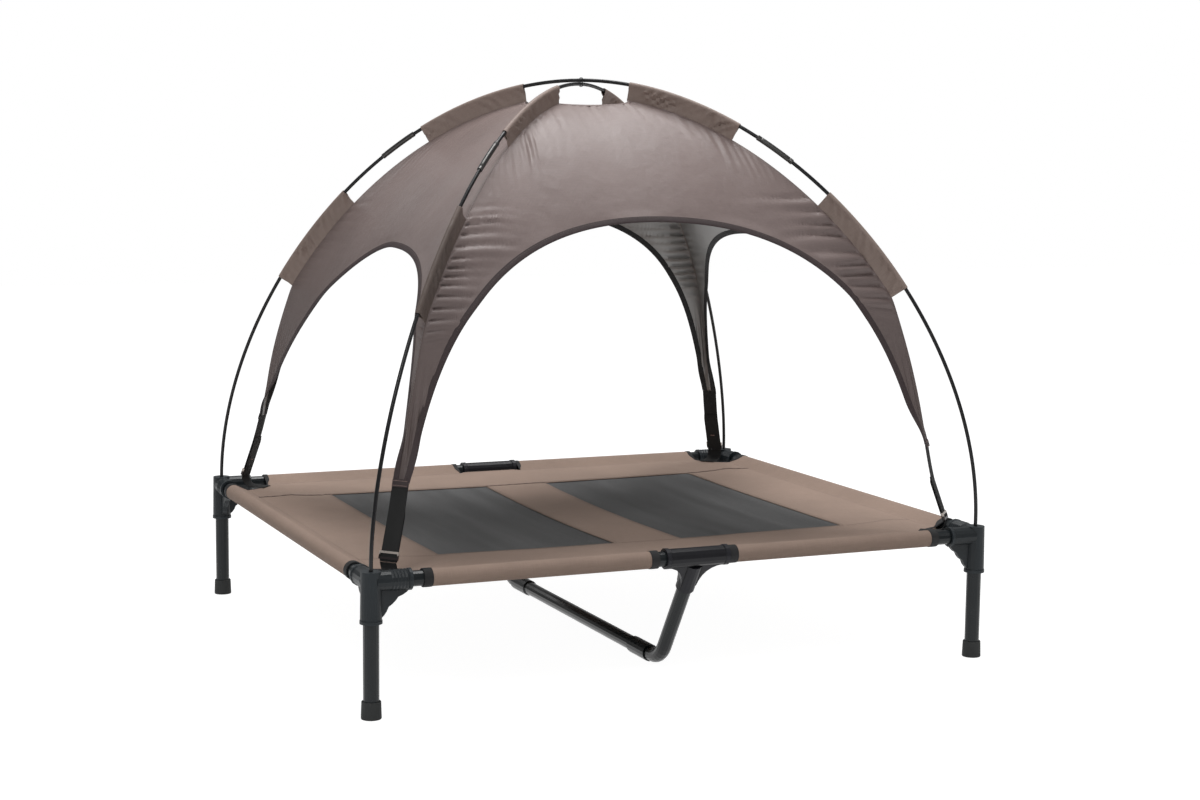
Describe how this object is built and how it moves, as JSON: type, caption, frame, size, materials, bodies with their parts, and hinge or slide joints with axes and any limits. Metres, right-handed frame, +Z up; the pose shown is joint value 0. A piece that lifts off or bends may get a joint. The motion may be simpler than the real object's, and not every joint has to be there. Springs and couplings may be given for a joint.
{
  "type": "dog bed",
  "caption": "Raised dog bed with net windows in a taupe deck, black tube frame with a middle leg, and a lift-off dome canopy with arched doorways.",
  "frame": {"origin": "on the floor, under the middle of the bed", "axes": "+X along the long front rail to the right, +Y to the back, +Z up"},
  "size_m": [1.1358, 1.0038, 1.005],
  "materials": {
    "steel_tube": "black powder coat, glossy",
    "moulding": "black, satin",
    "rubber_cap": "black, matt",
    "bed_cloth": "taupe woven polyester",
    "net": "charcoal coated net",
    "canopy_cloth": "brown-grey, silver coated inside",
    "sleeve_cloth": "brown",
    "canopy_pole": "black glass fibre",
    "ferrule": "black",
    "webbing": "black webbing",
    "slider": "bright nickel"
  },
  "bodies": {
    "frame": {"corner_connector_front_left": "moulding", "leg_front_left": "steel_tube", "foot_cap_front_left": "rubber_cap", "corner_connector_back_left": "moulding", "leg_back_left": "steel_tube", "foot_cap_back_left": "rubber_cap", "corner_connector_back_right": "moulding", "leg_back_right": "steel_tube", "foot_cap_back_right": "rubber_cap", "corner_connector_front_right": "moulding", "leg_front_right": "steel_tube", "foot_cap_front_right": "rubber_cap", "front_rail_left": "steel_tube", "front_rail_right": "steel_tube", "back_rail_left": "steel_tube", "back_rail_right": "steel_tube", "side_rail_left": "steel_tube", "side_rail_right": "steel_tube", "u_leg_front_tube": "steel_tube", "u_leg_back_tube": "steel_tube", "u_leg_floor_tube": "steel_tube", "centre_bracket_front": "moulding", "centre_bracket_back": "moulding", "bed_fabric": "bed_cloth", "mesh_window_left": "net", "mesh_window_right": "net"},
    "canopy": {"pole_end_front_left": "canopy_pole", "ferrule_front_left": "ferrule", "upper_pole_sleeve_front_left": "sleeve_cloth", "lower_pole_sleeve_front_left": "sleeve_cloth", "strap_front_left": "webbing", "pole_end_back_left": "canopy_pole", "ferrule_back_left": "ferrule", "upper_pole_sleeve_back_left": "sleeve_cloth", "lower_pole_sleeve_back_left": "sleeve_cloth", "strap_back_left": "webbing", "pole_end_back_right": "canopy_pole", "ferrule_back_right": "ferrule", "upper_pole_sleeve_back_right": "sleeve_cloth", "lower_pole_sleeve_back_right": "sleeve_cloth", "strap_back_right": "webbing", "pole_end_front_right": "canopy_pole", "ferrule_front_right": "ferrule", "upper_pole_sleeve_front_right": "sleeve_cloth", "lower_pole_sleeve_front_right": "sleeve_cloth", "strap_front_right": "webbing", "pole_lower_middle": "canopy_pole", "pole_upper_middle": "canopy_pole", "pole_tie": "webbing", "canopy_panel_front": "canopy_cloth", "canopy_panel_back": "canopy_cloth", "canopy_panel_left": "canopy_cloth", "canopy_panel_right": "canopy_cloth"},
    "slider_front_left": {"strap_slider_front_left": "slider"},
    "slider_back_left": {"strap_slider_back_left": "slider"},
    "slider_back_right": {"strap_slider_back_right": "slider"},
    "slider_front_right": {"strap_slider_front_right": "slider"}
  },
  "joints": [
    {"name": "canopy_lift", "type": "slide", "parent": "frame", "child": "canopy", "axis": [0, 0, 1], "range_m": [0, 0.1]},
    {"name": "slider_travel_front_left", "type": "slide", "parent": "canopy", "child": "slider_front_left", "axis": [0.2552, 0.2246, 0.9404], "range_m": [0, 0.055]},
    {"name": "slider_travel_back_left", "type": "slide", "parent": "canopy", "child": "slider_back_left", "axis": [0.2552, -0.2246, 0.9404], "range_m": [0, 0.055]},
    {"name": "slider_travel_back_right", "type": "slide", "parent": "canopy", "child": "slider_back_right", "axis": [-0.2552, -0.2246, 0.9404], "range_m": [0, 0.055]},
    {"name": "slider_travel_front_right", "type": "slide", "parent": "canopy", "child": "slider_front_right", "axis": [-0.2552, 0.2246, 0.9404], "range_m": [0, 0.055]}
  ]
}
